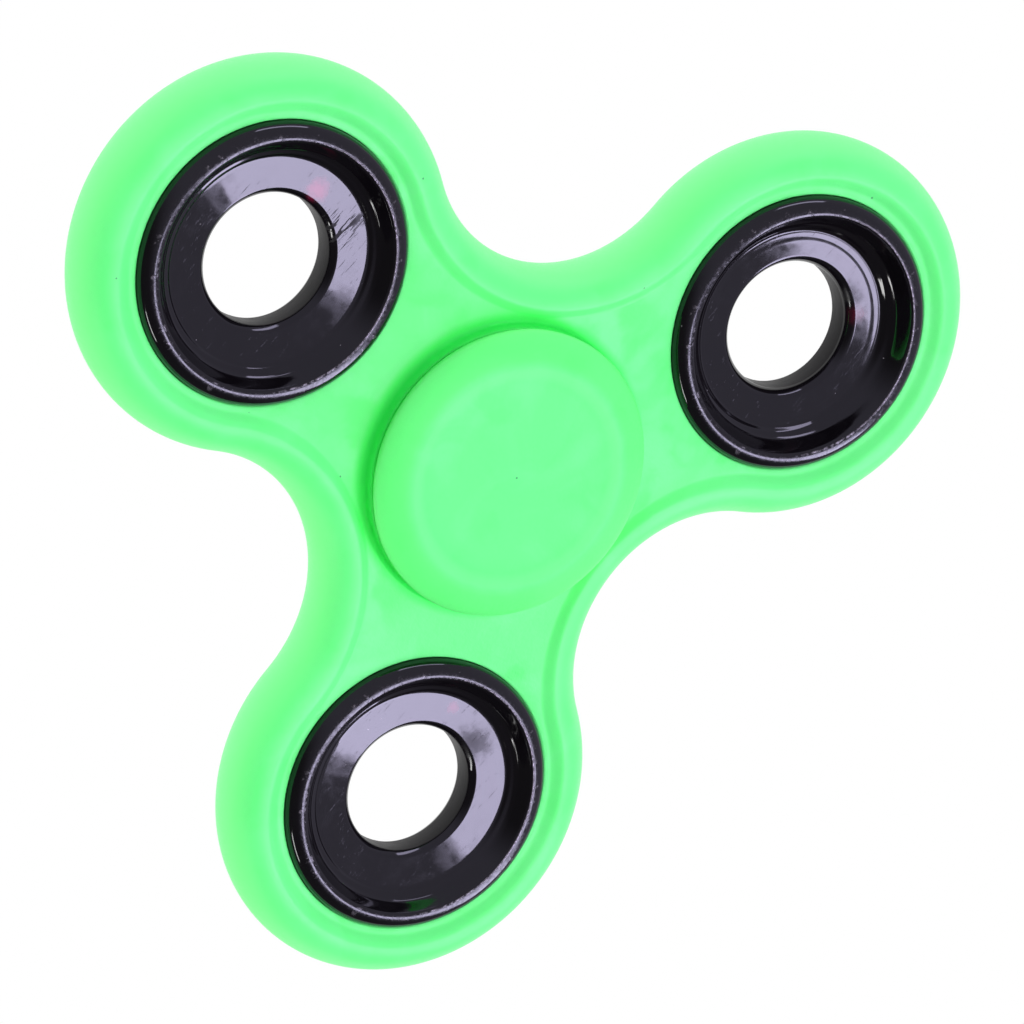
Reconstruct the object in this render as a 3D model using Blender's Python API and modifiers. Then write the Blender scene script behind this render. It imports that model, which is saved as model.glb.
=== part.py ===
"""Fidget spinner: three-lobed body with pressed-in ring weights, on a shielded ball bearing between two pads.

Metres, +Z up. The origin is the centre of the bearing, on the spin axis at half the thickness.
One lobe points along +Y.
"""
import math

import bmesh
import bpy
from mathutils import Matrix, Vector

MM = 0.001
OBJECT_NAME = "fidget_spinner"

# Body plan: three convex lobes joined by three concave arcs, all tangent.
LOBE_COUNT = 3
LOBE_PITCH_RADIUS = 26.6
LOBE_RADIUS = 15.33
NECK_RADIUS = LOBE_PITCH_RADIUS - LOBE_RADIUS
FIRST_LOBE_ANGLE = 90.0
LOBE_SWEEP = 240.0
NECK_SWEEP = 120.0
LOBE_STEPS = 22
NECK_STEPS = 8
RIM_HALF_WIDTH = 2.6
RIM_HALF_HEIGHT = 3.05
RIM_STEPS = 4
RIM_INNER_EDGE = (3.2, 2.96)
RIM_FOOT = (3.45, 2.6)
WEB_HALF_HEIGHT = 2.6
SEAT_RADIUS = 11.05
SEGMENTS = 36
CUTTER_HEIGHT = 12.0

# Collar moulded around the bearing seat: half profile (radius, height) from its inside to below the web.
COLLAR_PROFILE = (
    (10.50, 3.60),
    (11.25, 3.60),
    (11.32, 3.10),
    (11.50, 2.78),
    (11.85, 2.50),
)

# Ring weights: (radius, height) of each face from the seat in to the bore. The back is dished deeper than the
# front, and one weight is pressed in the other way up.
WEIGHT_OUTER_RADIUS = 11.0
WEIGHT_BORE_RADIUS = 5.13
WEIGHT_RIM_PROFILE = (
    (WEIGHT_OUTER_RADIUS, 2.60),
    (10.80, 3.05),
    (10.30, 3.42),
    (9.80, 3.50),
    (9.55, 3.38),
)
WEIGHT_FRONT_PROFILE = (
    (8.75, 2.40),
    (7.90, 1.98),
    (5.55, 1.80),
    (WEIGHT_BORE_RADIUS, 1.35),
)
WEIGHT_BACK_PROFILE = (
    (8.55, 2.00),
    (7.90, 1.42),
    (5.55, 1.05),
    (WEIGHT_BORE_RADIUS, 0.50),
)
FLIPPED_WEIGHT = 2

# 608 ball bearing.
BEARING_HALF_WIDTH = 3.5
BEARING_OUTER_RADIUS = 11.0
BEARING_BORE_RADIUS = 4.0
EDGE_CHAMFER = 0.25
BALL_COUNT = 7
BALL_RADIUS = 1.9845
BALL_SEGMENTS = 14
BALL_RINGS = 8
BALL_PITCH_RADIUS = 7.5
GROOVE_RADIUS = 2.10
GROOVE_STEPS = 6
OUTER_SHOULDER_RADIUS = 8.75
INNER_SHOULDER_RADIUS = 6.15
SHIELD_LEDGE_HEIGHT = 2.62
SHIELD_LEDGE_RADIUS = 9.5
SHIELD_GROOVE_RADIUS = 9.8
SHIELD_GROOVE_BOTTOM = 2.8
SHIELD_GROOVE_TOP = 3.2
SHIELD_LIP_RADIUS = 9.55

# Shields: pressed discs of 0.3 mm sheet held by their outer edge.
SHIELD_PROFILE = (
    (9.75, 3.15),
    (9.10, 3.15),
    (8.90, 3.35),
    (6.40, 3.35),
    (6.40, 3.05),
    (8.78, 3.05),
    (8.98, 2.85),
    (9.75, 2.85),
)

# Cage: two pressed ribbon halves riveted together between the balls.
CAGE_INNER_RADIUS = 6.75
CAGE_OUTER_RADIUS = 8.25
CAGE_SHEET = 0.3
CAGE_SEAM_GAP = 0.03
CAGE_POCKET_RADIUS = 2.08
CAGE_STEPS_PER_BALL = 12
RIVET_HOLE_RADIUS = 0.36
RIVET_SHANK_RADIUS = 0.32
RIVET_HEAD_RADIUS = 0.6
RIVET_HEAD_HEIGHT = 0.2
RIVET_CLEARANCE = 0.03
RIVET_SEGMENTS = 8

# Finger pads: a flat ring around a shallow dish; the top pad's pin presses into the bottom pad's socket.
PAD_RADIUS = 11.4
PAD_TOP_PROFILE = (
    (7.90, 5.80),
    (8.80, 5.80),
    (9.50, 5.70),
    (10.50, 5.30),
    (11.20, 4.88),
    (PAD_RADIUS, 4.50),
    (11.25, 4.08),
    (10.80, 3.90),
)
PAD_DISH_PROFILE = (
    (7.30, 5.74),
    (4.20, 5.66),
)
PAD_CENTRE_HEIGHT = 5.62
PAD_UNDERSIDE = 3.9
SPACER_RADIUS = 5.6
SPACER_FOOT = 3.54
STUB_RADIUS = 3.95
STUB_END = 0.15
PIN_RADIUS = 1.9
PIN_END = -2.6
SOCKET_RADIUS = 1.95
SOCKET_DEPTH = 2.9
CHAMFER = 0.2

COLOURS = {
    "green_plastic": ((0.16, 0.92, 0.30, 1.0), 0.0, 0.30),
    "black_plate": ((0.012, 0.010, 0.012, 1.0), 1.0, 0.28),
    "race_steel": ((0.62, 0.62, 0.60, 1.0), 1.0, 0.18),
    "ball_steel": ((0.75, 0.75, 0.74, 1.0), 1.0, 0.06),
    "cage_steel": ((0.55, 0.53, 0.50, 1.0), 1.0, 0.35),
    "shield_steel": ((0.60, 0.60, 0.60, 1.0), 1.0, 0.30),
}


def clear_scene():
    """Remove everything the new file starts with."""
    for obj in list(bpy.data.objects):
        bpy.data.objects.remove(obj, do_unlink=True)


def new_collection(name):
    """Make a collection in the scene."""
    collection = bpy.data.collections.new(name)
    bpy.context.scene.collection.children.link(collection)
    return collection


def make_material(name, look):
    """Make one Principled material with the named look."""
    colour, metallic, roughness = COLOURS[look]
    material = bpy.data.materials.new(name)
    material.use_nodes = True
    shader = material.node_tree.nodes["Principled BSDF"]
    shader.inputs["Base Color"].default_value = colour
    shader.inputs["Metallic"].default_value = metallic
    shader.inputs["Roughness"].default_value = roughness
    material.diffuse_color = colour
    return material


def add_object(name, bm, collection, look, smooth=True):
    """Write a bmesh, in millimetres, to a new object in metres."""
    bmesh.ops.scale(bm, vec=(MM, MM, MM), verts=bm.verts)
    mesh = bpy.data.meshes.new(name)
    bm.to_mesh(mesh)
    bm.free()
    obj = bpy.data.objects.new(name, mesh)
    collection.objects.link(obj)
    if look:
        mesh.materials.append(make_material(name + "_material", look))
    for polygon in mesh.polygons:
        polygon.use_smooth = smooth
    return obj


def hide_tool(obj):
    """Keep a modelling tool out of the picture."""
    obj.hide_render = True
    obj.display_type = "WIRE"


def add_cutter(name, bm, collection):
    """Make a hidden cutting solid."""
    obj = add_object(name, bm, collection, None, False)
    hide_tool(obj)
    return obj


def apply_modifiers(obj):
    """Keep the evaluated mesh and drop the modifiers."""
    bpy.context.view_layer.update()
    graph = bpy.context.evaluated_depsgraph_get()
    mesh = bpy.data.meshes.new_from_object(obj.evaluated_get(graph))
    mesh.name = obj.name
    obj.modifiers.clear()
    obj.data = mesh


def combine(obj, tool, operation):
    """Add a solid to another (UNION) or subtract it (DIFFERENCE)."""
    modifier = obj.modifiers.new("combine", "BOOLEAN")
    modifier.operation = operation
    modifier.solver = "EXACT"
    modifier.object = tool
    apply_modifiers(obj)


def shade_by_angle(obj, degrees):
    """Mark edges sharper than the given angle, so that broad flats stay flat and round sides stay smooth."""
    bm = bmesh.new()
    bm.from_mesh(obj.data)
    for edge in bm.edges:
        edge.smooth = edge.calc_face_angle(0.0) < math.radians(degrees)
    for face in bm.faces:
        face.smooth = True
    bm.to_mesh(obj.data)
    bm.free()


def turn_profile(name, profile, collection, look, closed=True, segments=SEGMENTS):
    """Turn a profile of (radius, height) points about Z with a Screw modifier."""
    bm = bmesh.new()
    verts = [bm.verts.new((radius, 0.0, height)) for radius, height in profile]
    for first, second in zip(verts, verts[1:]):
        bm.edges.new((first, second))
    if closed:
        bm.edges.new((verts[-1], verts[0]))
    obj = add_object(name, bm, collection, look)
    screw = obj.modifiers.new("turn", "SCREW")
    screw.axis = "Z"
    screw.angle = math.tau
    screw.steps = segments
    screw.render_steps = segments
    screw.use_merge_vertices = True
    screw.merge_threshold = 0.00001
    screw.use_smooth_shade = True
    apply_modifiers(obj)
    bm = bmesh.new()
    bm.from_mesh(obj.data)
    bmesh.ops.recalc_face_normals(bm, faces=bm.faces)
    bm.to_mesh(obj.data)
    bm.free()
    shade_by_angle(obj, 32.0)
    return obj


def cylinders(radius, height, places, segments=SEGMENTS):
    """Make upright cylinders centred on the middle plane; each place is (x, y, turn)."""
    bm = bmesh.new()
    for x, y, turn in places:
        bmesh.ops.create_cone(
            bm,
            cap_ends=True,
            segments=segments,
            radius1=radius,
            radius2=radius,
            depth=height,
            matrix=Matrix.Translation((x, y, 0.0)) @ Matrix.Rotation(turn, 4, "Z"),
        )
    return bm


def lobe_centre(index):
    """Return the centre of a lobe and its bearing in degrees."""
    angle = FIRST_LOBE_ANGLE + index * 360.0 / LOBE_COUNT
    direction = math.radians(angle)
    return LOBE_PITCH_RADIUS * math.cos(direction), LOBE_PITCH_RADIUS * math.sin(direction), angle


def arc_points(centre, radius, start, sweep, steps):
    """Return the points of an arc without its last one."""
    points = []
    for step in range(steps):
        angle = math.radians(start + sweep * step / steps)
        points.append((centre[0] + radius * math.cos(angle), centre[1] + radius * math.sin(angle)))
    return points


def outline_points():
    """Return the body outline, counter-clockwise."""
    points = []
    half_step = 180.0 / LOBE_COUNT
    for index in range(LOBE_COUNT):
        x, y, angle = lobe_centre(index)
        points += arc_points((x, y), LOBE_RADIUS, angle - LOBE_SWEEP / 2.0, LOBE_SWEEP, LOBE_STEPS)
        neck = math.radians(angle + half_step)
        centre = (LOBE_PITCH_RADIUS * math.cos(neck), LOBE_PITCH_RADIUS * math.sin(neck))
        start = angle + half_step + 180.0 + NECK_SWEEP / 2.0
        points += arc_points(centre, NECK_RADIUS, start, -NECK_SWEEP, NECK_STEPS)
    return points


def rim_profile():
    """Return (distance in from the outline, height) from the outline at mid height to the web."""
    points = []
    for step in range(1, RIM_STEPS + 1):
        angle = math.radians(90.0 * step / RIM_STEPS)
        points.append((RIM_HALF_WIDTH * (1.0 - math.cos(angle)), RIM_HALF_HEIGHT * math.sin(angle)))
    points.append(RIM_INNER_EDGE)
    points.append(RIM_FOOT)
    return points


def make_body(collection, cutters):
    """Make the frame: rounded rim stepped in from the outline, mirrored, a collar added and four seats cut."""
    bm = bmesh.new()
    verts = [bm.verts.new((x, y, 0.0)) for x, y in outline_points()]
    face = bm.faces.new(verts)
    distance, height = 0.0, 0.0
    for next_distance, next_height in rim_profile():
        bmesh.ops.inset_region(
            bm,
            faces=[face],
            thickness=next_distance - distance,
            depth=0.0,
            use_boundary=True,
            use_even_offset=True,
        )
        bmesh.ops.translate(bm, verts=face.verts, vec=Vector((0.0, 0.0, next_height - height)))
        distance, height = next_distance, next_height
    body = add_object("body", bm, collection, "green_plastic")
    mirror = body.modifiers.new("other_side", "MIRROR")
    mirror.use_axis = (False, False, True)
    mirror.use_mirror_merge = True
    mirror.merge_threshold = 0.00001
    apply_modifiers(body)
    collar_below = [(radius, -height) for radius, height in reversed(COLLAR_PROFILE)]
    collar = turn_profile("collar_blank", [*COLLAR_PROFILE, *collar_below], cutters, None)
    hide_tool(collar)
    combine(body, collar, "UNION")
    seats = [(0.0, 0.0, 0.0)]
    for index in range(LOBE_COUNT):
        x, y, _ = lobe_centre(index)
        seats.append((x, y, 0.0))
    seat_cutter = add_cutter("seat_cutter", cylinders(SEAT_RADIUS, CUTTER_HEIGHT, seats), cutters)
    combine(body, seat_cutter, "DIFFERENCE")
    shade_by_angle(body, 32.0)
    return body


def make_weights(collection):
    """Make the three dished ring weights, one of them the other way up."""
    front = [*WEIGHT_RIM_PROFILE, *WEIGHT_FRONT_PROFILE]
    back = [*WEIGHT_RIM_PROFILE, *WEIGHT_BACK_PROFILE]
    weights = []
    for index in range(LOBE_COUNT):
        upper, lower = (back, front) if index == FLIPPED_WEIGHT else (front, back)
        profile = upper + [(radius, -height) for radius, height in reversed(lower)]
        weight = turn_profile("weight_%d" % (index + 1), profile, collection, "black_plate")
        x, y, _ = lobe_centre(index)
        weight.location = (x * MM, y * MM, 0.0)
        weights.append(weight)
    return weights


def groove_points(side):
    """Return the ball groove from upper to lower shoulder; side is +1 on the outer race, -1 on the inner."""
    shoulder = OUTER_SHOULDER_RADIUS if side > 0 else INNER_SHOULDER_RADIUS
    reach = abs(shoulder - BALL_PITCH_RADIUS)
    limit = math.acos(reach / GROOVE_RADIUS)
    points = []
    for step in range(GROOVE_STEPS + 1):
        angle = limit * (1.0 - 2.0 * step / GROOVE_STEPS)
        radius = BALL_PITCH_RADIUS + side * GROOVE_RADIUS * math.cos(angle)
        points.append((radius, GROOVE_RADIUS * math.sin(angle)))
    return points


def make_races(collection):
    """Make the two bearing rings."""
    half = BEARING_HALF_WIDTH
    outside = [
        (BEARING_OUTER_RADIUS - EDGE_CHAMFER, half),
        (BEARING_OUTER_RADIUS, half - EDGE_CHAMFER),
        (BEARING_OUTER_RADIUS, EDGE_CHAMFER - half),
        (BEARING_OUTER_RADIUS - EDGE_CHAMFER, -half),
    ]
    seat = [
        (SHIELD_LIP_RADIUS, half),
        (SHIELD_LIP_RADIUS, SHIELD_GROOVE_TOP),
        (SHIELD_GROOVE_RADIUS, SHIELD_GROOVE_TOP),
        (SHIELD_GROOVE_RADIUS, SHIELD_GROOVE_BOTTOM),
        (SHIELD_LEDGE_RADIUS, SHIELD_GROOVE_BOTTOM),
        (SHIELD_LEDGE_RADIUS, SHIELD_LEDGE_HEIGHT),
        (OUTER_SHOULDER_RADIUS, SHIELD_LEDGE_HEIGHT),
    ]
    below = [(radius, -height) for radius, height in seat]
    profile = outside + below + groove_points(1)[::-1] + seat[::-1]
    outer = turn_profile("outer_race", profile, collection, "race_steel")
    rim = [
        (INNER_SHOULDER_RADIUS - EDGE_CHAMFER, half),
        (INNER_SHOULDER_RADIUS, half - EDGE_CHAMFER),
    ]
    bore = [
        (BEARING_BORE_RADIUS, half - EDGE_CHAMFER),
        (BEARING_BORE_RADIUS + EDGE_CHAMFER, half),
    ]
    rim_below = [(radius, -height) for radius, height in reversed(rim)]
    bore_below = [(radius, -height) for radius, height in reversed(bore)]
    profile = rim + groove_points(-1) + rim_below + bore_below + bore
    inner = turn_profile("inner_race", profile, collection, "race_steel")
    return outer, inner


def make_shields(collection):
    """Make the two pressed shields."""
    top = turn_profile("shield_top", SHIELD_PROFILE, collection, "shield_steel")
    below = [(radius, -height) for radius, height in SHIELD_PROFILE]
    bottom = turn_profile("shield_bottom", below, collection, "shield_steel")
    return top, bottom


def ball_angle(index):
    """Return the bearing of a ball in radians; the first one lies on +X."""
    return math.tau * index / BALL_COUNT


def make_balls(collection):
    """Make the seven balls, each with its origin at its own centre."""
    balls = []
    for index in range(BALL_COUNT):
        bm = bmesh.new()
        bmesh.ops.create_uvsphere(bm, u_segments=BALL_SEGMENTS, v_segments=BALL_RINGS, radius=BALL_RADIUS)
        ball = add_object("ball_%d" % (index + 1), bm, collection, "ball_steel")
        angle = ball_angle(index)
        ball.location = (
            BALL_PITCH_RADIUS * math.cos(angle) * MM,
            BALL_PITCH_RADIUS * math.sin(angle) * MM,
            0.0,
        )
        balls.append(ball)
    return balls


def ribbon_height(angle):
    """Return the height of the ribbon's inner face: a half-round pocket over each ball, flat between."""
    pitch = math.tau / BALL_COUNT
    offset = (angle + pitch / 2.0) % pitch - pitch / 2.0
    reach = BALL_PITCH_RADIUS * abs(math.sin(offset))
    if reach >= CAGE_POCKET_RADIUS:
        return CAGE_SEAM_GAP
    return max(math.sqrt(CAGE_POCKET_RADIUS ** 2 - reach ** 2), CAGE_SEAM_GAP)


def make_cage_half(name, side, collection, cutters):
    """Make one ribbon half from a waved strip given thickness, with a rivet hole between every two pockets."""
    bm = bmesh.new()
    count = BALL_COUNT * CAGE_STEPS_PER_BALL
    inner, outer = [], []
    for step in range(count):
        angle = math.tau * step / count
        height = side * ribbon_height(angle)
        for radius, ring in ((CAGE_INNER_RADIUS, inner), (CAGE_OUTER_RADIUS, outer)):
            ring.append(bm.verts.new((radius * math.cos(angle), radius * math.sin(angle), height)))
    for step in range(count):
        following = (step + 1) % count
        quad = (inner[step], outer[step], outer[following], inner[following])
        bm.faces.new(quad if side > 0 else quad[::-1])
    half = add_object(name, bm, collection, "cage_steel")
    sheet = half.modifiers.new("sheet", "SOLIDIFY")
    sheet.thickness = CAGE_SHEET * MM
    sheet.offset = 1.0
    sheet.use_even_offset = True
    apply_modifiers(half)
    holes = []
    for index in range(BALL_COUNT):
        angle = ball_angle(index + 0.5)
        x, y = BALL_PITCH_RADIUS * math.cos(angle), BALL_PITCH_RADIUS * math.sin(angle)
        holes.append((x, y, angle + math.pi / RIVET_SEGMENTS))
    bm = cylinders(RIVET_HOLE_RADIUS, CUTTER_HEIGHT, holes, RIVET_SEGMENTS)
    combine(half, add_cutter(name + "_holes", bm, cutters), "DIFFERENCE")
    shade_by_angle(half, 40.0)
    return half


def make_rivets(collection):
    """Make the seven rivets of the cage."""
    face = CAGE_SEAM_GAP + CAGE_SHEET + RIVET_CLEARANCE
    top = [
        (0.0, face + RIVET_HEAD_HEIGHT),
        (RIVET_HEAD_RADIUS * 0.7, face + RIVET_HEAD_HEIGHT * 0.8),
        (RIVET_HEAD_RADIUS, face),
        (RIVET_SHANK_RADIUS, face),
    ]
    profile = top + [(radius, -height) for radius, height in reversed(top)]
    rivets = []
    for index in range(BALL_COUNT):
        name = "cage_rivet_%d" % (index + 1)
        rivet = turn_profile(name, profile, collection, "cage_steel", False, RIVET_SEGMENTS)
        angle = ball_angle(index + 0.5)
        rivet.location = (
            BALL_PITCH_RADIUS * math.cos(angle) * MM,
            BALL_PITCH_RADIUS * math.sin(angle) * MM,
            0.0,
        )
        rivets.append(rivet)
    return rivets


def make_pads(collection):
    """Make the two finger pads, turned in one piece with their spacer and stub."""
    pad = [(0.0, PAD_CENTRE_HEIGHT)]
    pad += reversed(PAD_DISH_PROFILE)
    pad += PAD_TOP_PROFILE
    pad += [
        (SPACER_RADIUS, PAD_UNDERSIDE),
        (SPACER_RADIUS, SPACER_FOOT),
        (STUB_RADIUS, SPACER_FOOT),
        (STUB_RADIUS, STUB_END + CHAMFER),
        (STUB_RADIUS - CHAMFER, STUB_END),
    ]
    pin = [
        (PIN_RADIUS, STUB_END),
        (PIN_RADIUS, PIN_END + CHAMFER),
        (PIN_RADIUS - CHAMFER, PIN_END),
        (0.0, PIN_END),
    ]
    top = turn_profile("top_cap", pad + pin, collection, "green_plastic", False)
    socket = [
        (SOCKET_RADIUS, STUB_END),
        (SOCKET_RADIUS, SOCKET_DEPTH),
        (0.0, SOCKET_DEPTH),
    ]
    below = [(radius, -height) for radius, height in pad + socket]
    bottom = turn_profile("bottom_cap", below, collection, "green_plastic", False)
    return top, bottom


def parent_to(name, children, parts):
    """Parent pieces to an empty at the spin axis without moving them."""
    empty = bpy.data.objects.new(name, None)
    parts.objects.link(empty)
    for child in children:
        child.parent = empty
    return empty


def main():
    """Build the whole object."""
    clear_scene()
    parts = new_collection(OBJECT_NAME)
    cutters = new_collection("cutters")
    body = make_body(parts, cutters)
    weights = make_weights(parts)
    outer_race, inner_race = make_races(parts)
    shields = make_shields(parts)
    balls = make_balls(parts)
    cage = [
        make_cage_half("cage_upper", 1, parts, cutters),
        make_cage_half("cage_lower", -1, parts, cutters),
    ]
    rivets = make_rivets(parts)
    pads = make_pads(parts)
    parent_to("hub_axis", [inner_race, *pads], parts)
    parent_to("rotor_axis", [body, *weights, outer_race, *shields], parts)
    parent_to("cage_axis", [*cage, *rivets, *balls], parts)
    cutters.hide_render = True


main()
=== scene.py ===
import math

import bmesh
import bpy
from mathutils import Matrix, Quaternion, Vector
from mathutils.geometry import delaunay_2d_cdt


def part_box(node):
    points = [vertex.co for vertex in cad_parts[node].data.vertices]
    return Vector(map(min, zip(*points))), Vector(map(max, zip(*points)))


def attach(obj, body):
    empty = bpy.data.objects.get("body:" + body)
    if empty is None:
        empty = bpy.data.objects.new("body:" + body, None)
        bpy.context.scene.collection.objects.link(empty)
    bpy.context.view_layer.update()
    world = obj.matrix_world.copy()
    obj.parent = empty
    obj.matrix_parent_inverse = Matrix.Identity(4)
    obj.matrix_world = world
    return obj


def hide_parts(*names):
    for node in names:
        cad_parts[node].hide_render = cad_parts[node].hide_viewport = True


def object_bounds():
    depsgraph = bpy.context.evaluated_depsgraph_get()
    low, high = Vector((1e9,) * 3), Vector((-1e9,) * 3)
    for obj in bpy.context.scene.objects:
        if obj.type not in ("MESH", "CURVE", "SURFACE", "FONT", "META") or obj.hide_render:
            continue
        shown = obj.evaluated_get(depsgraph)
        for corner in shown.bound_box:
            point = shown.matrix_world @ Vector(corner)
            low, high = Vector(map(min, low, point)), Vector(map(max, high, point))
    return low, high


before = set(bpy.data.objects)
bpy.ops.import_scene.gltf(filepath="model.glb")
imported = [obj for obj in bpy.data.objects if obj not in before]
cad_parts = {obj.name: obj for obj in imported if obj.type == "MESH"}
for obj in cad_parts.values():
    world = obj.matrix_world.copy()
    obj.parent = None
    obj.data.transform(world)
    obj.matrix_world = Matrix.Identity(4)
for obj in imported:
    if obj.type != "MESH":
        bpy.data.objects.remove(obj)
cad_low, cad_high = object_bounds()

MM = 0.001
TURN = math.tau
LOBE_COUNT = 3

# Body section, in mm: half-ellipse rim, soft step down to the web, collar around the bearing seat.
RIM_HALF_WIDTH = 2.6
RIM_HALF_HEIGHT = 3.05
RIM_FOOT_INSET = 3.8
NECK_SQUEEZE = 0.26
WEB_HALF_HEIGHT = 2.6
SEAT_RADIUS = 11.05
SEAT_CHAMFER = 0.15
COLLAR_SECTION = (
    (11.70, 2.60),
    (11.56, 2.64),
    (11.44, 2.76),
    (11.35, 2.98),
    (11.31, 3.40),
    (11.28, 3.68),
    (11.22, 3.77),
    (11.14, 3.80),
    (11.08, 3.79),
    (SEAT_RADIUS, 3.74),
)

# Ring weight sections, in mm, from the shared rim in to the bore.
WEIGHT_RADIUS = 11.0
WEIGHT_CREST = (9.86, 3.50)
WEIGHT_SHOULDER_BASE = 2.55
WEIGHT_BORE_RADIUS = 5.13
WEIGHT_INNER_LIP = ((9.66, 3.48), (9.54, 3.42), (9.46, 3.32))
WEIGHT_FRONT = (
    (8.98, 2.60), (8.84, 2.44), (8.72, 2.34), (8.60, 2.27),
    (8.34, 2.18), (8.22, 2.09), (8.12, 2.02), (7.98, 1.99),
)
WEIGHT_BACK = (
    (8.90, 2.32), (8.72, 2.08), (8.56, 1.94), (8.32, 1.78), (8.16, 1.62), (8.04, 1.50), (7.92, 1.43),
)
FRONT_FLOOR = ((7.90, 1.98), (5.60, 1.80))
BACK_RIDGES = (
    (7.82, 1.400), (7.66, 1.392), (7.52, 1.377), (7.34, 1.362),
    (7.20, 1.356), (7.06, 1.349), (6.90, 1.336), (6.74, 1.324),
)
BACK_FLOOR = ((6.60, 1.314), (5.80, 1.258))
FRONT_BORE_EDGE = ((5.52, 1.77), (5.43, 1.70), (5.24, 1.50), (5.16, 1.40), (WEIGHT_BORE_RADIUS, 1.28))
BACK_BORE_EDGE = (
    (5.72, 1.245), (5.60, 1.195), (5.46, 1.08), (5.28, 0.84), (5.18, 0.64), (WEIGHT_BORE_RADIUS, 0.48),
)
BORE_MARGIN = 0.02
WEIGHT_STEPS = 192
FLIPPED_WEIGHT = 2
SCORED_WEIGHT = 0

# Pads, in mm.
PAD_FACE = (
    (0.001, 5.46), (2.5, 5.465), (4.8, 5.48), (6.4, 5.51), (7.3, 5.58), (8.0, 5.71), (8.5, 5.795),
    (8.85, 5.80), (9.4, 5.70), (10.1, 5.45), (10.8, 5.10), (11.28, 4.72), (11.4, 4.46),
)
PAD_EDGE = ((11.4, 4.46), (11.37, 4.26), (11.26, 4.06), (11.05, 3.94), (10.8, 3.90))
PAD_STUB = ((5.6, 3.90), (5.6, 3.54), (3.95, 3.54), (3.95, 0.35), (3.75, 0.15))
PIN = ((1.9, 0.15), (1.9, -2.4), (1.7, -2.6), (0.0, -2.6))
SOCKET = ((1.95, 0.15), (1.95, 2.9), (0.0, 2.9))
PAD_STEPS = 176

GREEN = (0.118, 0.90, 0.200, 1.0)
GREEN_DEEP = (0.088, 0.89, 0.160, 1.0)
GREEN_PALE = (0.150, 0.91, 0.245, 1.0)
# Painted sheen: a paler green for faces that slope away from level.
GREEN_EDGE_SHEEN = (0.150, 0.93, 0.225, 1.0)
# Painted shade: a darker green for the web and collar beside the hub, where the pads shade them.
GREEN_PAINTED_SHADE = (0.030, 0.88, 0.090, 1.0)
# Painted shade and highlight on the pads: a deeper green band on the outer slope and a pale line along the
# crest.
GREEN_RING_SHADE = (0.108, 0.92, 0.155, 1.0)
GREEN_CREST_HIGHLIGHT = (0.160, 0.93, 0.240, 1.0)
SPECK = (0.01, 0.16, 0.05, 1.0)
BLACK = (0.0035, 0.0028, 0.0038, 1.0)
SOOT = (0.020, 0.018, 0.020, 1.0)
WORN = (0.34, 0.31, 0.34, 1.0)
DUST = (0.35, 0.33, 0.34, 1.0)

# Where painted shade, painted highlight, wear and other marks lie, as distances from the axis in mm.
PAINTED_SHADE_FADE = (12.5, 11.6)
# Painted shade band on the pad's outer slope, then the radius of the painted highlight along its crest.
PAD_RING_SHADE_FADE = (8.7, 9.6)
PAD_CREST_HIGHLIGHT_RADIUS = 8.35
WORN_CREST_RADIUS = 9.74
RUBBED_SHOULDER_RADIUS = 10.15
BRUSHED_CREST_RADIUS = 9.95
FLOOR_OUTER_FADE = (8.1, 7.9)
FLOOR_INNER_FADE = (5.3, 5.6)
BORE_EDGE_FADE = (5.30, 5.16)

# Marks on each weight's floor, in mm: pink stains as a place, size and strength, then greasy films.
STAINS = (((6.3, 0.7, 1.9), 1.25, 0.9), ((6.9, 1.9, 1.9), 0.7, 0.5), ((4.3, -4.0, 1.3), 1.1, 0.25))
FILMS = (((5.4, -2.9, 1.8), 2.6), ((5.9, -1.7, 1.8), 2.4), ((4.9, -2.2, 1.3), 1.6))
PINK = (0.20, 0.004, 0.035, 1.0)

CAMERA_AZIMUTH = 185.165
CAMERA_ELEVATION = 56.594
CAMERA_ROLL = 125.496
CAMERA_LENS = 251.42
CAMERA_DISTANCE = 0.54374
CAMERA_AIM = (-0.001974, -0.003602, 0.0026)
CAMERA_SENSOR = 36.0

# Studio: each direction points from the object to the light; distances and sizes are in metres.
LILAC = (0.76, 0.71, 1.0)
WHITE = (1.0, 1.0, 1.0)
WALL_LEFT = (0.07, 0.07, 0.075, 1.0)
WALL_RIGHT = (0.48, 0.46, 0.60, 1.0)
SOFTBOX_DIRECTION = (0.0, -0.707, 0.707)
SOFTBOX_DISTANCE = 4.0
SOFTBOX_HEIGHT = 3.56
STRIP_DISTANCE = 1.5
FILL_DISTANCE = 1.5
FILL_SIZE = 0.8
TABLE_LIGHT_DEPTH = 0.00581
TABLE_LIGHT_SIZE = 1.0
TABLE_HALF_SIZE = 4000.0
TABLE_GAP = 0.02


def centre_of(node):
    """Return the middle of a CAD node's box, in metres."""
    low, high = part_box(node)
    return (low + high) / 2.0


def size_of(node):
    """Return the size of a CAD node's box, in millimetres."""
    low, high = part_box(node)
    return (high - low) / MM


LOBES = [centre_of("weight_%d" % (index + 1)) for index in range(LOBE_COUNT)]
LOBE_PITCH_RADIUS = LOBES[0].xy.length / MM
LOBE_RADIUS = (size_of("body").y - LOBE_PITCH_RADIUS * 1.5) / 2.0


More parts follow.
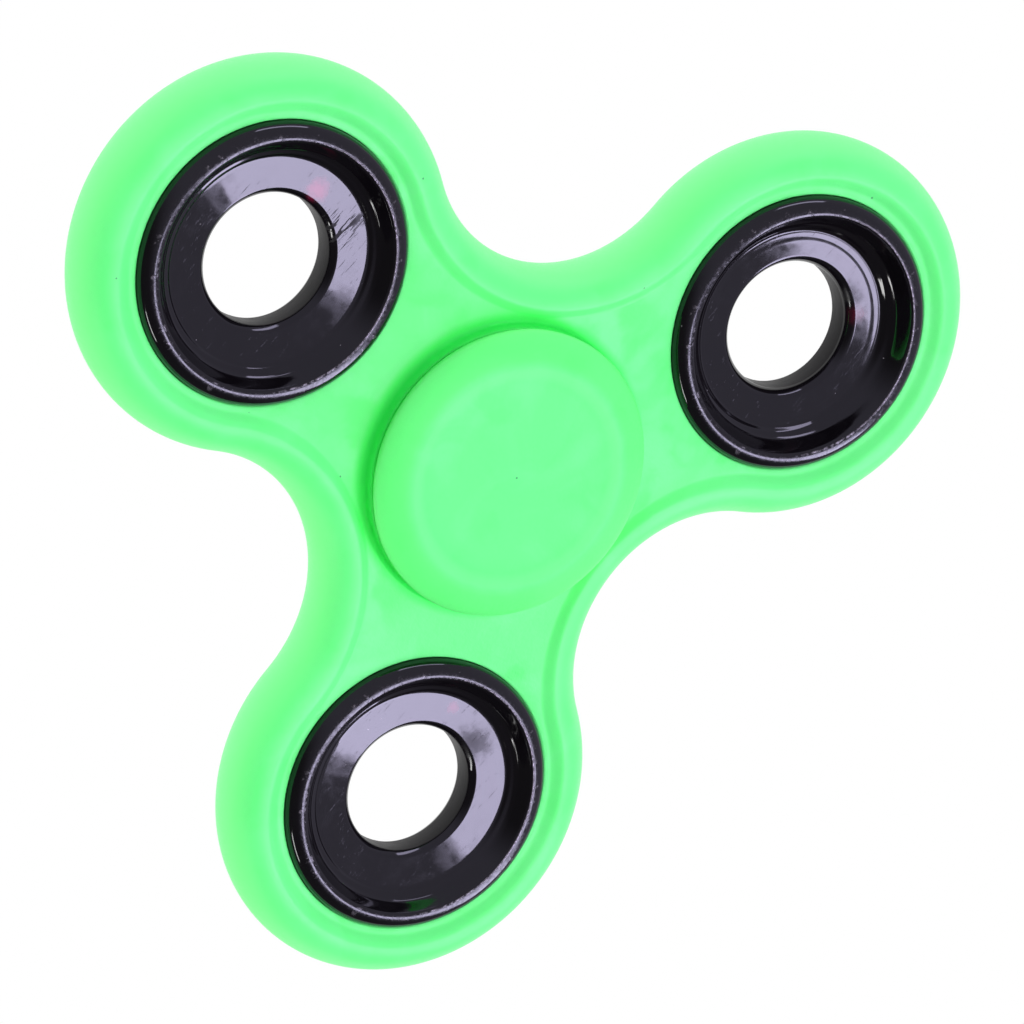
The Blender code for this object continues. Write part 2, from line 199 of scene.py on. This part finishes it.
# ---------------------------------------------------------------- mesh helpers
def new_object(name, bm, materials, sharp=None):
    """Write a bmesh, in millimetres, to a new object in metres."""
    bmesh.ops.recalc_face_normals(bm, faces=bm.faces)
    bmesh.ops.scale(bm, vec=(MM, MM, MM), verts=bm.verts)
    if sharp is not None:
        for edge in bm.edges:
            edge.smooth = edge.calc_face_angle(0.0) < math.radians(sharp)
    for face in bm.faces:
        face.smooth = True
    mesh = bpy.data.meshes.new(name)
    bm.to_mesh(mesh)
    bm.free()
    for material in materials:
        mesh.materials.append(material)
    obj = bpy.data.objects.new(name, mesh)
    bpy.context.scene.collection.objects.link(obj)
    return obj


def ring(bm, points):
    """Add a loop of vertices."""
    return [bm.verts.new(point) for point in points]


def bridge(bm, first, second):
    """Join two loops of the same length with quads."""
    count = len(first)
    for index in range(count):
        following = (index + 1) % count
        bm.faces.new((first[index], first[following], second[following], second[index]))


def fill_between(bm, outer, holes):
    """Fill the level region inside one loop and outside some round ones; return its faces."""
    loops = [outer] + holes
    verts = [vert for loop in loops for vert in loop]
    home = [number for number, loop in enumerate(loops) for _ in loop]
    edges = []
    start = 0
    for loop in loops:
        edges += [(start + index, start + (index + 1) % len(loop)) for index in range(len(loop))]
        start += len(loop)
    result = delaunay_2d_cdt([vert.co.xy for vert in verts], edges, [], 1, 1e-6)
    faces = []
    for triangle in result[2]:
        corners = [result[3][corner][0] for corner in triangle]
        homes = {home[corner] for corner in corners}
        if len(homes) > 1 or 0 in homes:
            faces.append(bm.faces.new([verts[corner] for corner in corners]))
    return faces


def circle(centre, radius, height, steps=144):
    """Return the points of a level circle."""
    points = []
    for step in range(steps):
        angle = TURN * step / steps
        points.append((centre[0] + radius * math.cos(angle), centre[1] + radius * math.sin(angle), height))
    return points


def lathe(name, profile, materials, steps=160, closed=True, sharp=35.0):
    """Turn (radius, height) points about Z; a radius of 0 makes a pole."""
    bm = bmesh.new()
    loops = []
    for radius, height in profile:
        if radius == 0.0:
            loops.append([bm.verts.new((0.0, 0.0, height))])
        else:
            loops.append(ring(bm, circle((0.0, 0.0), radius, height, steps)))
    pairs = list(zip(loops, loops[1:]))
    if closed:
        pairs.append((loops[-1], loops[0]))
    for first, second in pairs:
        if len(first) > 1 and len(second) > 1:
            bridge(bm, first, second)
            continue
        pole, loop = (first[0], second) if len(first) == 1 else (second[0], first)
        for index in range(len(loop)):
            bm.faces.new((pole, loop[index], loop[(index + 1) % len(loop)]))
    return new_object(name, bm, materials, sharp)


def smooth_path(points, steps=6):
    """Pass a Catmull-Rom curve through profile points."""
    path = []
    for index in range(len(points) - 1):
        before = Vector(points[max(index - 1, 0)])
        start = Vector(points[index])
        end = Vector(points[index + 1])
        after = Vector(points[min(index + 2, len(points) - 1)])
        for step in range(steps):
            t = step / steps
            point = 0.5 * (
                2.0 * start
                + (end - before) * t
                + (2.0 * before - 5.0 * start + 4.0 * end - after) * t * t
                + (3.0 * start - before - 3.0 * end + after) * t * t * t
            )
            path.append((point.x, point.y))
    path.append(tuple(points[-1]))
    return path


def hold_flat(start, end, margin=0.06):
    """Return a straight run with loops close to both ends, so that it shades as a true cone."""
    first, last = Vector(start), Vector(end)
    step = (last - first).normalized() * margin
    return [tuple(point) for point in (first, first + step, (first + last) / 2.0, last - step, last)]


# ---------------------------------------------------------------- node helpers
class Graph:
    """A small writer of shader node graphs."""

    def __init__(self, tree):
        self.tree = tree
        self.tree.nodes.clear()

    def add(self, kind, inputs=None, **settings):
        """Add a node; inputs maps socket names or indexes to values or sockets."""
        node = self.tree.nodes.new(kind)
        for key, value in settings.items():
            setattr(node, key, value)
        for key, value in (inputs or {}).items():
            if isinstance(value, bpy.types.NodeSocket):
                self.tree.links.new(value, node.inputs[key])
            else:
                node.inputs[key].default_value = value
        return node

    def math(self, operation, first, second=0.0):
        """Add a math node and return its value."""
        return self.add("ShaderNodeMath", {0: first, 1: second}, operation=operation).outputs[0]

    def product(self, *values):
        """Multiply several values."""
        result = values[0]
        for value in values[1:]:
            result = self.math("MULTIPLY", result, value)
        return result

    def band(self, value, low, high, first=0.0, second=1.0):
        """Map a value smoothly from one range to another."""
        node = self.add(
            "ShaderNodeMapRange",
            {"Value": value, "From Min": low, "From Max": high, "To Min": first, "To Max": second},
            interpolation_type="SMOOTHSTEP",
        )
        return node.outputs["Result"]

    def mix(self, factor, first, second):
        """Mix two colours."""
        return self.add("ShaderNodeMix", {0: factor, 6: first, 7: second}, data_type="RGBA").outputs[2]

    def noise(self, vector, scale, detail=2.0, roughness=0.5, distortion=0.0):
        """Add a noise texture and return its value."""
        inputs = {"Vector": vector, "Scale": scale, "Detail": detail, "Roughness": roughness}
        return self.add("ShaderNodeTexNoise", {**inputs, "Distortion": distortion}).outputs[0]

    def near(self, value, place, far, close, strength=1.0):
        """Return a mask that is strongest where a value is close to a place."""
        distance = self.math("ABSOLUTE", self.math("SUBTRACT", value, place))
        return self.band(distance, far, close, 0.0, strength)

    def stretched(self, position, scale, turn):
        """Return a position scaled along each axis and turned about Z."""
        inputs = {"Vector": position, "Scale": scale, "Rotation": (0.0, 0.0, turn)}
        return self.add("ShaderNodeMapping", inputs).outputs[0]

    def millimetres(self):
        """Return the object's own coordinates in millimetres."""
        coordinates = self.add("ShaderNodeTexCoord").outputs["Object"]
        inputs = {0: coordinates, "Scale": 1.0 / MM}
        return self.add("ShaderNodeVectorMath", inputs, operation="SCALE").outputs[0]

    def polar(self, position):
        """Return radius, height and bearing of a position."""
        split = self.add("ShaderNodeSeparateXYZ", {0: position}).outputs
        square = self.math("ADD", self.product(split[0], split[0]), self.product(split[1], split[1]))
        return self.math("SQRT", square), split[2], self.math("ARCTAN2", split[1], split[0])

    def patch(self, position, place, size):
        """Return a soft round mask around a place, with a ragged edge."""
        away = self.add("ShaderNodeVectorMath", {0: position, 1: place}, operation="DISTANCE")
        wander = self.band(self.noise(position, 1.3, 3.0), 0.3, 0.7, -0.15 * size, 0.15 * size)
        return self.band(self.math("ADD", away.outputs["Value"], wander), size, size * 0.1)

    def bump(self, height, strength, distance, normal=None):
        """Add a bump node."""
        inputs = {"Height": height, "Strength": strength, "Distance": distance}
        if normal is not None:
            inputs["Normal"] = normal
        return self.add("ShaderNodeBump", inputs).outputs[0]

    def specks(self, position, scale, size, share, seed=0.0):
        """Return a mask of sparse round specks."""
        offset = (seed, seed * 0.7, seed * 0.3)
        shift = self.add("ShaderNodeVectorMath", {0: position, 1: offset}, operation="ADD")
        cells = self.add("ShaderNodeTexVoronoi", {"Vector": shift.outputs[0], "Scale": scale}).outputs
        draw = self.add("ShaderNodeSeparateColor", {0: cells["Color"]}).outputs[0]
        chosen = self.math("GREATER_THAN", draw, 1.0 - share)
        return self.product(self.band(cells["Distance"], size * scale, size * scale * 0.5), chosen)


def new_material(name):
    """Make a material and return it with its graph."""
    material = bpy.data.materials.new(name)
    material.use_nodes = True
    return material, Graph(material.node_tree)


def close_material(graph, inputs):
    """Add the Principled shader and the output."""
    shader = graph.add("ShaderNodeBsdfPrincipled", inputs)
    graph.add("ShaderNodeOutputMaterial", {0: shader.outputs[0]})


# ---------------------------------------------------------------- materials
def green_plastic(name, roughness, grain, blotch, seed, index=1.5, hub_shade=True):
    """Moulded ABS: flow marks, a painted paler sheen on sloping faces, specks and a fine grain.

    The base colour is darkened beside the hub as painted shade under the pads, or, on the pads, given a
    painted shade band round the dish and a painted highlight along its crest.
    """
    material, graph = new_material(name)
    position = graph.millimetres()
    flow = graph.noise(position, 0.13, 3.0, 0.5, 0.8)
    colour = graph.mix(graph.band(flow, 0.42, 0.66, 0.0, blotch), GREEN, GREEN_PALE)
    deep = graph.noise(position, 0.21, 3.0, 0.5, 0.4)
    colour = graph.mix(graph.band(deep, 0.50, 0.72, 0.0, blotch), colour, GREEN_DEEP)
    direction = graph.add("ShaderNodeTexCoord").outputs["Normal"]
    facing = graph.add("ShaderNodeSeparateXYZ", {0: direction}).outputs[2]
    # Painted sheen: sloping faces, found from the surface normal, are mixed towards a paler green.
    colour = graph.mix(graph.band(graph.math("ABSOLUTE", facing), 0.97, 0.60), colour, GREEN_EDGE_SHEEN)
    radius = graph.polar(position)[0]
    # Painted shade: beside the hub the green is darkened where the pads shade the web and collar.
    if hub_shade:
        colour = graph.mix(graph.band(radius, *PAINTED_SHADE_FADE), colour, GREEN_PAINTED_SHADE)
    else:
        # Painted shade band on the pad's outer slope and painted highlight along its crest, to show the pad's
        # relief.
        colour = graph.mix(graph.band(radius, *PAD_RING_SHADE_FADE, 0.0, 0.6), colour, GREEN_RING_SHADE)
        colour = graph.mix(graph.near(radius, PAD_CREST_HIGHLIGHT_RADIUS, 0.8, 0.1, 0.5), colour, GREEN_CREST_HIGHLIGHT)
    small = graph.specks(position, 0.30, 0.11, 0.5, seed)
    large = graph.specks(position, 0.09, 0.22, 0.3, seed + 3.0)
    colour = graph.mix(graph.product(graph.math("MAXIMUM", small, large), 0.75), colour, SPECK)
    fine = graph.noise(position, 4.0, 3.0, 0.6)
    peel = graph.noise(position, 0.45, 2.0)
    rough = graph.band(fine, 0.3, 0.7, roughness - 0.05, roughness + 0.07)
    normal = graph.bump(peel, 0.12, 0.0003)
    normal = graph.bump(fine, grain, 0.00006, normal)
    close_material(graph, {
        "Base Color": colour,
        "Roughness": rough,
        "Normal": normal,
        "IOR": index,
        "Subsurface Weight": 0.10,
        "Subsurface Radius": (0.5, 1.5, 0.6),
        "Subsurface Scale": 0.001,
    })
    return material


def bore_plating():
    """Dull black plating down the bore, thinner and rougher than on the faces."""
    material, graph = new_material("black_plating_bore")
    position = graph.millimetres()
    grain = graph.noise(position, 2.5, 4.0, 0.6)
    _, height, bearing = graph.polar(position)
    around = {0: graph.product(bearing, 1.5), 1: graph.product(height, 9.0)}
    drawn = graph.noise(graph.add("ShaderNodeCombineXYZ", around).outputs[0], 2.0, 3.0, 0.6)
    colour = graph.mix(graph.band(grain, 0.55, 0.75, 0.0, 0.3), BLACK, SOOT)
    rough = graph.band(drawn, 0.3, 0.7, 0.34, 0.50)
    close_material(graph, {
        "Base Color": colour,
        "Roughness": rough,
        "Normal": graph.bump(drawn, 0.2, 0.00002),
        "IOR": 1.28,
    })
    return material


def crest_wear(graph, position, radius, height, bearing, ragged, patchy):
    """Return a mask of bare metal along a weight's crest and in spots on its shoulder."""
    near_crest = graph.near(radius, WORN_CREST_RADIUS, 0.10, 0.02)
    sideways = graph.band(graph.math("COSINE", graph.math("SUBTRACT", bearing, -0.9)), -0.2, 1.0, 0.0, 0.22)
    amount = graph.math("ADD", graph.math("ADD", ragged, graph.product(patchy, 0.5)), sideways)
    along_crest = graph.product(near_crest, graph.band(amount, 0.78, 1.12))
    on_shoulder = graph.product(
        graph.near(radius, RUBBED_SHOULDER_RADIUS, 0.45, 0.1),
        graph.band(graph.noise(position, 1.1, 4.0, 0.65), 0.60, 0.74),
        graph.band(height, 3.0, 3.3),
        0.35,
    )
    return graph.math("MAXIMUM", along_crest, on_shoulder)


def black_plating(index):
    """Gloss black plating: worn crest, fine scratches, dust and, on each weight, marks of its own."""
    material, graph = new_material("black_plating_%d" % (index + 1))
    seed = 1.7 * index
    position = graph.millimetres()
    radius, height, bearing = graph.polar(position)
    ragged = graph.noise(position, 3.2, 4.0, 0.7)
    patchy = graph.noise(position, 0.30, 2.0)
    wear = crest_wear(graph, position, radius, height, bearing, ragged, patchy)
    scratch = graph.noise(graph.stretched(position, (0.25, 6.0, 1.0), 0.9 + seed), 1.6, 5.0, 0.75)
    floor = graph.product(graph.band(radius, *FLOOR_OUTER_FADE), graph.band(radius, *FLOOR_INNER_FADE))
    scratches = graph.product(graph.band(scratch, 0.64, 0.72), floor, graph.band(patchy, 0.46, 0.58))
    dust = graph.specks(position, 0.9, 0.06, 0.25, seed)
    place, size, strength = STAINS[index]
    stain = graph.patch(position, place, size)
    film = graph.patch(position, *FILMS[index])
    if index == SCORED_WEIGHT:
        across = graph.noise(graph.stretched(position, (0.5, 5.0, 1.0), 2.3), 0.8, 3.0, 0.6)
        scores = graph.math("MAXIMUM", graph.band(across, 0.56, 0.62), graph.band(scratch, 0.57, 0.63))
        film = graph.product(film, scores, 2.0)
    colour = graph.mix(graph.product(stain, strength), BLACK, PINK)
    colour = graph.mix(graph.product(dust, 0.5), colour, DUST)
    colour = graph.mix(wear, colour, WORN)
    smudge = graph.noise(position, 0.8, 3.0, 0.6)
    rough = graph.band(smudge, 0.35, 0.7, 0.05, 0.10)
    rough = graph.math("ADD", rough, graph.product(scratches, 0.30))
    rough = graph.math("ADD", rough, graph.product(film, 0.28))
    crest = graph.near(radius, BRUSHED_CREST_RADIUS, 0.5, 0.1)
    rough = graph.math("ADD", rough, graph.product(crest, graph.band(ragged, 0.3, 0.7), 0.22))
    rough = graph.math("MAXIMUM", rough, graph.product(wear, 0.34))
    normal = graph.bump(scratches, 0.4, 0.00002)
    normal = graph.bump(graph.noise(position, 0.5, 2.0), 0.02, 0.0002, normal)
    normal = graph.bump(wear, 0.5, 0.00004, normal)
    close_material(graph, {
        "Base Color": colour,
        "Metallic": wear,
        "Roughness": rough,
        "Normal": normal,
        "IOR": 1.5,
    })
    return material


def steel(name, colour, roughness, lay, seed):
    """Turned, pressed or polished steel with fine marks around its axis and faint stains."""
    material, graph = new_material(name)
    position = graph.millimetres()
    radius, height, _ = graph.polar(position)
    turned = {0: graph.product(radius, lay), 1: graph.product(height, lay), 2: seed}
    marks = graph.noise(graph.add("ShaderNodeCombineXYZ", turned).outputs[0], 4.0, 3.0, 0.6)
    stain = graph.noise(position, 0.7, 2.0)
    darker = tuple(channel * 0.78 for channel in colour) + (1.0,)
    tone = graph.mix(graph.band(stain, 0.4, 0.7, 0.0, 0.5), (*colour, 1.0), darker)
    rough = graph.band(marks, 0.3, 0.7, roughness * 0.75, roughness * 1.3)
    normal = graph.bump(marks, 0.12, 0.00002)
    close_material(graph, {"Base Color": tone, "Metallic": 1.0, "Roughness": rough, "Normal": normal})
    return material


# ---------------------------------------------------------------- body
def outline(inset, height, lobe_steps=96, neck_steps=40):
    """Return the body outline moved in by a distance, at a height; lobes shrink and necks grow."""
    points = []
    neck_radius = LOBE_PITCH_RADIUS - LOBE_RADIUS + inset
    lobe_radius = LOBE_RADIUS - inset
    for index in range(LOBE_COUNT):
        heading = TURN / 4.0 + TURN * index / LOBE_COUNT
        x, y = LOBE_PITCH_RADIUS * math.cos(heading), LOBE_PITCH_RADIUS * math.sin(heading)
        for step in range(lobe_steps):
            angle = heading - TURN / 3.0 + TURN * 2.0 / 3.0 * step / lobe_steps
            points.append((x + lobe_radius * math.cos(angle), y + lobe_radius * math.sin(angle), height))
        neck = heading + TURN / 6.0
        x, y = LOBE_PITCH_RADIUS * math.cos(neck), LOBE_PITCH_RADIUS * math.sin(neck)
        for step in range(neck_steps):
            angle = neck + TURN / 2.0 + TURN / 6.0 - TURN / 3.0 * step / neck_steps
            squeeze = NECK_SQUEEZE * math.sin(math.pi * step / neck_steps) ** 2
            radius = neck_radius - squeeze * max(inset - RIM_HALF_WIDTH, 0.0)
            points.append((x + radius * math.cos(angle), y + radius * math.sin(angle), height))
    return points


def rim_section():
    """Return (inset, height) from mid height over the crest to the web."""
    section = []
    steps = 18
    for step in range(steps + 1):
        angle = TURN / 4.0 * step / steps
        section.append((RIM_HALF_WIDTH * (1.0 - math.cos(angle)), RIM_HALF_HEIGHT * math.sin(angle)))
    fall = RIM_HALF_HEIGHT - WEB_HALF_HEIGHT
    run = RIM_FOOT_INSET - RIM_HALF_WIDTH
    steps = 12
    for step in range(1, steps + 1):
        t = step / steps
        section.append((RIM_HALF_WIDTH + run * t, RIM_HALF_HEIGHT - fall * t * t * (3.0 - 2.0 * t)))
    return section


def seat_wall(section):
    """Return a seat's full wall, lower face to upper, from the half section of its edge."""
    return [(radius, -height) for radius, height in section] + list(reversed(section))


def make_body():
    """Build the frame: rounded rim, level web on both faces, a collar on the hub and four seats."""
    bm = bmesh.new()
    section = rim_section()
    full = [(inset, -height) for inset, height in reversed(section[1:])] + section
    loops = [ring(bm, outline(inset, height)) for inset, height in full]
    for first, second in zip(loops, loops[1:]):
        bridge(bm, first, second)
    plain_edge = (
        (SEAT_RADIUS + SEAT_CHAMFER, WEB_HALF_HEIGHT),
        (SEAT_RADIUS + SEAT_CHAMFER * 0.3, WEB_HALF_HEIGHT - SEAT_CHAMFER * 0.3),
        (SEAT_RADIUS, WEB_HALF_HEIGHT - SEAT_CHAMFER),
    )
    borders = [[loops[0]], [loops[-1]]]
    places = [(Vector((0.0, 0.0, 0.0)), COLLAR_SECTION)] + [(lobe / MM, plain_edge) for lobe in LOBES]
    for centre, edge in places:
        rows = [ring(bm, circle(centre, radius, height)) for radius, height in seat_wall(edge)]
        for first, second in zip(rows, rows[1:]):
            bridge(bm, first, second)
        borders[0].append(rows[0])
        borders[1].append(rows[-1])
    for border in borders:
        for face in fill_between(bm, border[0], border[1:]):
            face.material_index = 1
    materials = [
        green_plastic("abs_rim", 0.46, 0.10, 0.5, 1.0),
        green_plastic("abs_web", 0.50, 0.35, 1.0, 5.0),
    ]
    body = new_object("body_shell", bm, materials, 50.0)
    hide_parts("body")
    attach(body, "rotor")


# ---------------------------------------------------------------- weights
def weight_face(front):
    """Return one face of a weight from its seat to its bore, in mm."""
    shoulder = [(WEIGHT_RADIUS, 2.0)]
    reach = WEIGHT_RADIUS - WEIGHT_CREST[0]
    rise = WEIGHT_CREST[1] - WEIGHT_SHOULDER_BASE
    steps = 14
    for step in range(steps + 1):
        angle = TURN / 4.0 * step / steps
        radius = WEIGHT_CREST[0] + reach * math.cos(angle)
        shoulder.append((radius, WEIGHT_SHOULDER_BASE + rise * math.sin(angle)))
    wall = smooth_path(WEIGHT_INNER_LIP + (WEIGHT_FRONT if front else WEIGHT_BACK), 4)
    floor = hold_flat(*FRONT_FLOOR) if front else smooth_path(BACK_RIDGES, 3) + hold_flat(*BACK_FLOOR)
    edge = FRONT_BORE_EDGE if front else BACK_BORE_EDGE
    return shoulder + wall + floor + list(edge)


def make_weight(index, bore):
    """Build one dished ring weight at its CAD place."""
    upper = weight_face(index != FLIPPED_WEIGHT)
    lower = [(radius, -height) for radius, height in reversed(weight_face(index == FLIPPED_WEIGHT))]
    materials = [black_plating(index), bore]
    weight = lathe("weight_ring_%d" % (index + 1), upper + lower, materials, WEIGHT_STEPS, True, 60.0)
    for polygon in weight.data.polygons:
        if polygon.center.xy.length < (WEIGHT_BORE_RADIUS + BORE_MARGIN) * MM:
            polygon.material_index = 1
    weight.location = LOBES[index]
    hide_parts("weight_%d" % (index + 1))
    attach(weight, "rotor")


# ---------------------------------------------------------------- pads and bearing
def make_pads():
    """Build the two finger pads with their stubs."""
    material = green_plastic("abs_pad", 0.55, 0.20, 0.6, 9.0, 1.40, False)
    section = smooth_path(PAD_FACE, 5) + smooth_path(PAD_EDGE, 4)[1:] + list(PAD_STUB)
    # The first point moves onto the axis, so that the lathe closes the face with a pole.
    section[0] = (0.0, section[0][1])
    top = lathe("pad_top", section + list(PIN), [material], PAD_STEPS, False, 40.0)
    below = [(radius, -height) for radius, height in section + list(SOCKET)]
    bottom = lathe("pad_bottom", below, [material], PAD_STEPS, False, 40.0)
    for pad, node in ((top, "top_cap"), (bottom, "bottom_cap")):
        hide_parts(node)
        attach(pad, "hub")


def dress_bearing():
    """Give the bearing's own solids their steel."""
    ground = steel("ground_steel", (0.60, 0.60, 0.59), 0.16, 1.6, 1.0)
    polished = steel("polished_steel", (0.72, 0.72, 0.71), 0.07, 0.5, 2.0)
    pressed = steel("pressed_steel", (0.58, 0.56, 0.53), 0.30, 0.9, 3.0)
    shield = steel("shield_steel_sheet", (0.60, 0.60, 0.59), 0.26, 2.2, 4.0)
    finishes = {
        "outer_race": ground,
        "inner_race": ground,
        "ball": polished,
        "cage": pressed,
        "shield": shield,
    }
    for node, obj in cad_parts.items():
        for prefix, material in finishes.items():
            if node.startswith(prefix):
                for slot in obj.material_slots:
                    slot.material = material


# ---------------------------------------------------------------- camera, stage and light
def make_camera():
    """Place the camera at the photographed angle."""
    azimuth, elevation = math.radians(CAMERA_AZIMUTH), math.radians(CAMERA_ELEVATION)
    back = Vector((
        math.sin(azimuth) * math.cos(elevation),
        -math.cos(azimuth) * math.cos(elevation),
        math.sin(elevation),
    ))
    data = bpy.data.cameras.new("camera")
    data.lens = CAMERA_LENS
    data.sensor_width = CAMERA_SENSOR
    data.clip_start = 0.01
    data.clip_end = 20.0
    camera = bpy.data.objects.new("camera", data)
    camera.location = Vector(CAMERA_AIM) + back * CAMERA_DISTANCE
    camera.rotation_mode = "QUATERNION"
    roll = Quaternion((0.0, 0.0, 1.0), math.radians(CAMERA_ROLL))
    camera.rotation_quaternion = (-back).to_track_quat("-Z", "Y") @ roll
    bpy.context.scene.collection.objects.link(camera)
    bpy.context.scene.camera = camera


def make_table():
    """Lay the pale table under the bottom pad."""
    bm = bmesh.new()
    bmesh.ops.create_grid(bm, x_segments=1, y_segments=1, size=TABLE_HALF_SIZE)
    bmesh.ops.translate(bm, verts=bm.verts, vec=(0.0, 0.0, cad_low.z / MM - TABLE_GAP))
    material, graph = new_material("white_table")
    shader = graph.add("ShaderNodeEmission", {"Color": (1.0, 1.0, 1.0, 1.0), "Strength": 1.0})
    graph.add("ShaderNodeOutputMaterial", {0: shader.outputs[0]})
    new_object("table", bm, [material])


def make_softbox(name, direction, distance, width, height, colour, radiance, shift=0.0):
    """Hang a rectangular softbox that faces the object; sizes in metres, radiance against the white table."""
    data = bpy.data.lights.new(name, "AREA")
    data.shape = "RECTANGLE"
    data.size = width
    data.size_y = height
    data.color = colour
    data.energy = radiance * math.pi * width * height
    light = bpy.data.objects.new(name, data)
    back = Vector(direction).normalized()
    light.rotation_mode = "QUATERNION"
    light.rotation_quaternion = (-back).to_track_quat("-Z", "Y")
    light.location = back * distance - Vector((shift, 0.0, 0.0))
    bpy.context.scene.collection.objects.link(light)
    return light


def make_world():
    """Light the studio: dim walls, darker on the left."""
    world = bpy.data.worlds.new("studio")
    bpy.context.scene.world = world
    world.use_nodes = True
    graph = Graph(world.node_tree)
    direction = graph.add("ShaderNodeTexCoord").outputs["Generated"]
    split = graph.add("ShaderNodeSeparateXYZ", {0: direction}).outputs
    side = graph.band(split[0], -0.55, 0.15)
    colour = graph.mix(side, WALL_LEFT, WALL_RIGHT)
    background = graph.add("ShaderNodeBackground", {"Color": colour, "Strength": 1.0})
    graph.add("ShaderNodeOutputWorld", {0: background.outputs[0]})


def make_lights():
    """Hang the softboxes that show in reflections, then the fills that don't."""
    far = (SOFTBOX_DIRECTION, SOFTBOX_DISTANCE)
    make_softbox("softbox_far", *far, 0.752, SOFTBOX_HEIGHT, LILAC, 12.6, 0.264)
    make_softbox("softbox_frame", *far, 0.024, SOFTBOX_HEIGHT, LILAC, 4.0, -0.184)
    make_softbox("strip_left", (-0.94, 0.03, 0.33), STRIP_DISTANCE, 0.45, 0.12, WHITE, 13.0)
    make_softbox("strip_right", (0.89, 0.29, 0.35), STRIP_DISTANCE, 0.75, 0.22, LILAC, 6.0)
    # The last fill lies between the bottom pad and the table, and stands for the light the table returns.
    fills = (
        ("fill_top", (0.0, 0.0, 1.0), FILL_DISTANCE, FILL_SIZE, 6.4),
        ("fill_front", (0.0, 0.95, 0.30), FILL_DISTANCE, FILL_SIZE, 1.1),
        ("fill_table", (0.0, 0.0, -1.0), TABLE_LIGHT_DEPTH, TABLE_LIGHT_SIZE, 1.2),
    )
    for name, direction, distance, size, radiance in fills:
        make_softbox(name, direction, distance, size, size, WHITE, radiance).visible_glossy = False


make_body()
bore_finish = bore_plating()
for number in range(LOBE_COUNT):
    make_weight(number, bore_finish)
make_pads()
dress_bearing()
make_camera()
make_table()
make_world()
make_lights()

scene = bpy.context.scene
scene.view_settings.view_transform = "Standard"
scene.view_settings.look = "None"
scene.view_settings.exposure = 0.0
scene.view_settings.gamma = 1.0
